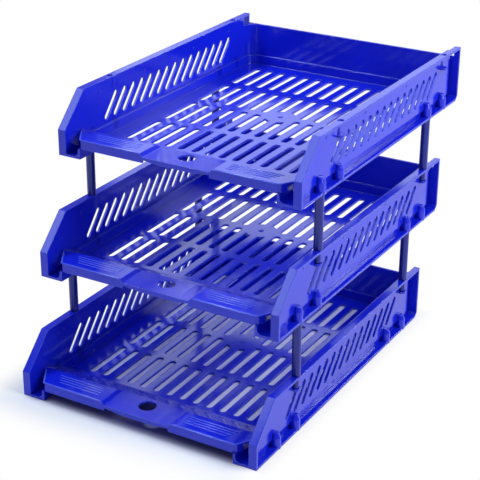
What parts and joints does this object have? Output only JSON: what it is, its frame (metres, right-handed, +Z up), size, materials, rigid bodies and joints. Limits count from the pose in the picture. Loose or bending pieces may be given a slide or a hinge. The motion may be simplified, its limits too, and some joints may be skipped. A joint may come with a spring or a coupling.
{
  "type": "letter tray",
  "caption": "Tiered desk letter tray: open-fronted slotted plastic trays, stepped back and stacked on slim round risers.",
  "frame": {"origin": "middle of the stack's bounding box, on the surface it stands on", "axes": "+Z up, open fronts face -Y, +X to the right seen from the front, +Y is the long way"},
  "size_m": [0.256, 0.414, 0.2765],
  "materials": {
    "tray_plastic": "glossy injection-moulded, slightly translucent royal blue",
    "riser_plastic": "glossy injection-moulded deep blue"
  },
  "bodies": {
    "bottom_tier": {"tray_bottom": "tray_plastic", "riser_lower_front_left": "riser_plastic", "riser_lower_front_right": "riser_plastic", "riser_lower_rear_left": "riser_plastic", "riser_lower_rear_right": "riser_plastic"},
    "middle_tier": {"tray_middle": "tray_plastic", "riser_upper_front_left": "riser_plastic", "riser_upper_front_right": "riser_plastic", "riser_upper_rear_left": "riser_plastic", "riser_upper_rear_right": "riser_plastic"},
    "top_tier": {"tray_top": "tray_plastic"}
  },
  "joints": [
    {"name": "middle_lift", "type": "slide", "parent": "bottom_tier", "child": "middle_tier", "axis": [0, 0, 1], "range_m": [0, 0.03]},
    {"name": "top_lift", "type": "slide", "parent": "middle_tier", "child": "top_tier", "axis": [0, 0, 1], "range_m": [0, 0.03]}
  ]
}
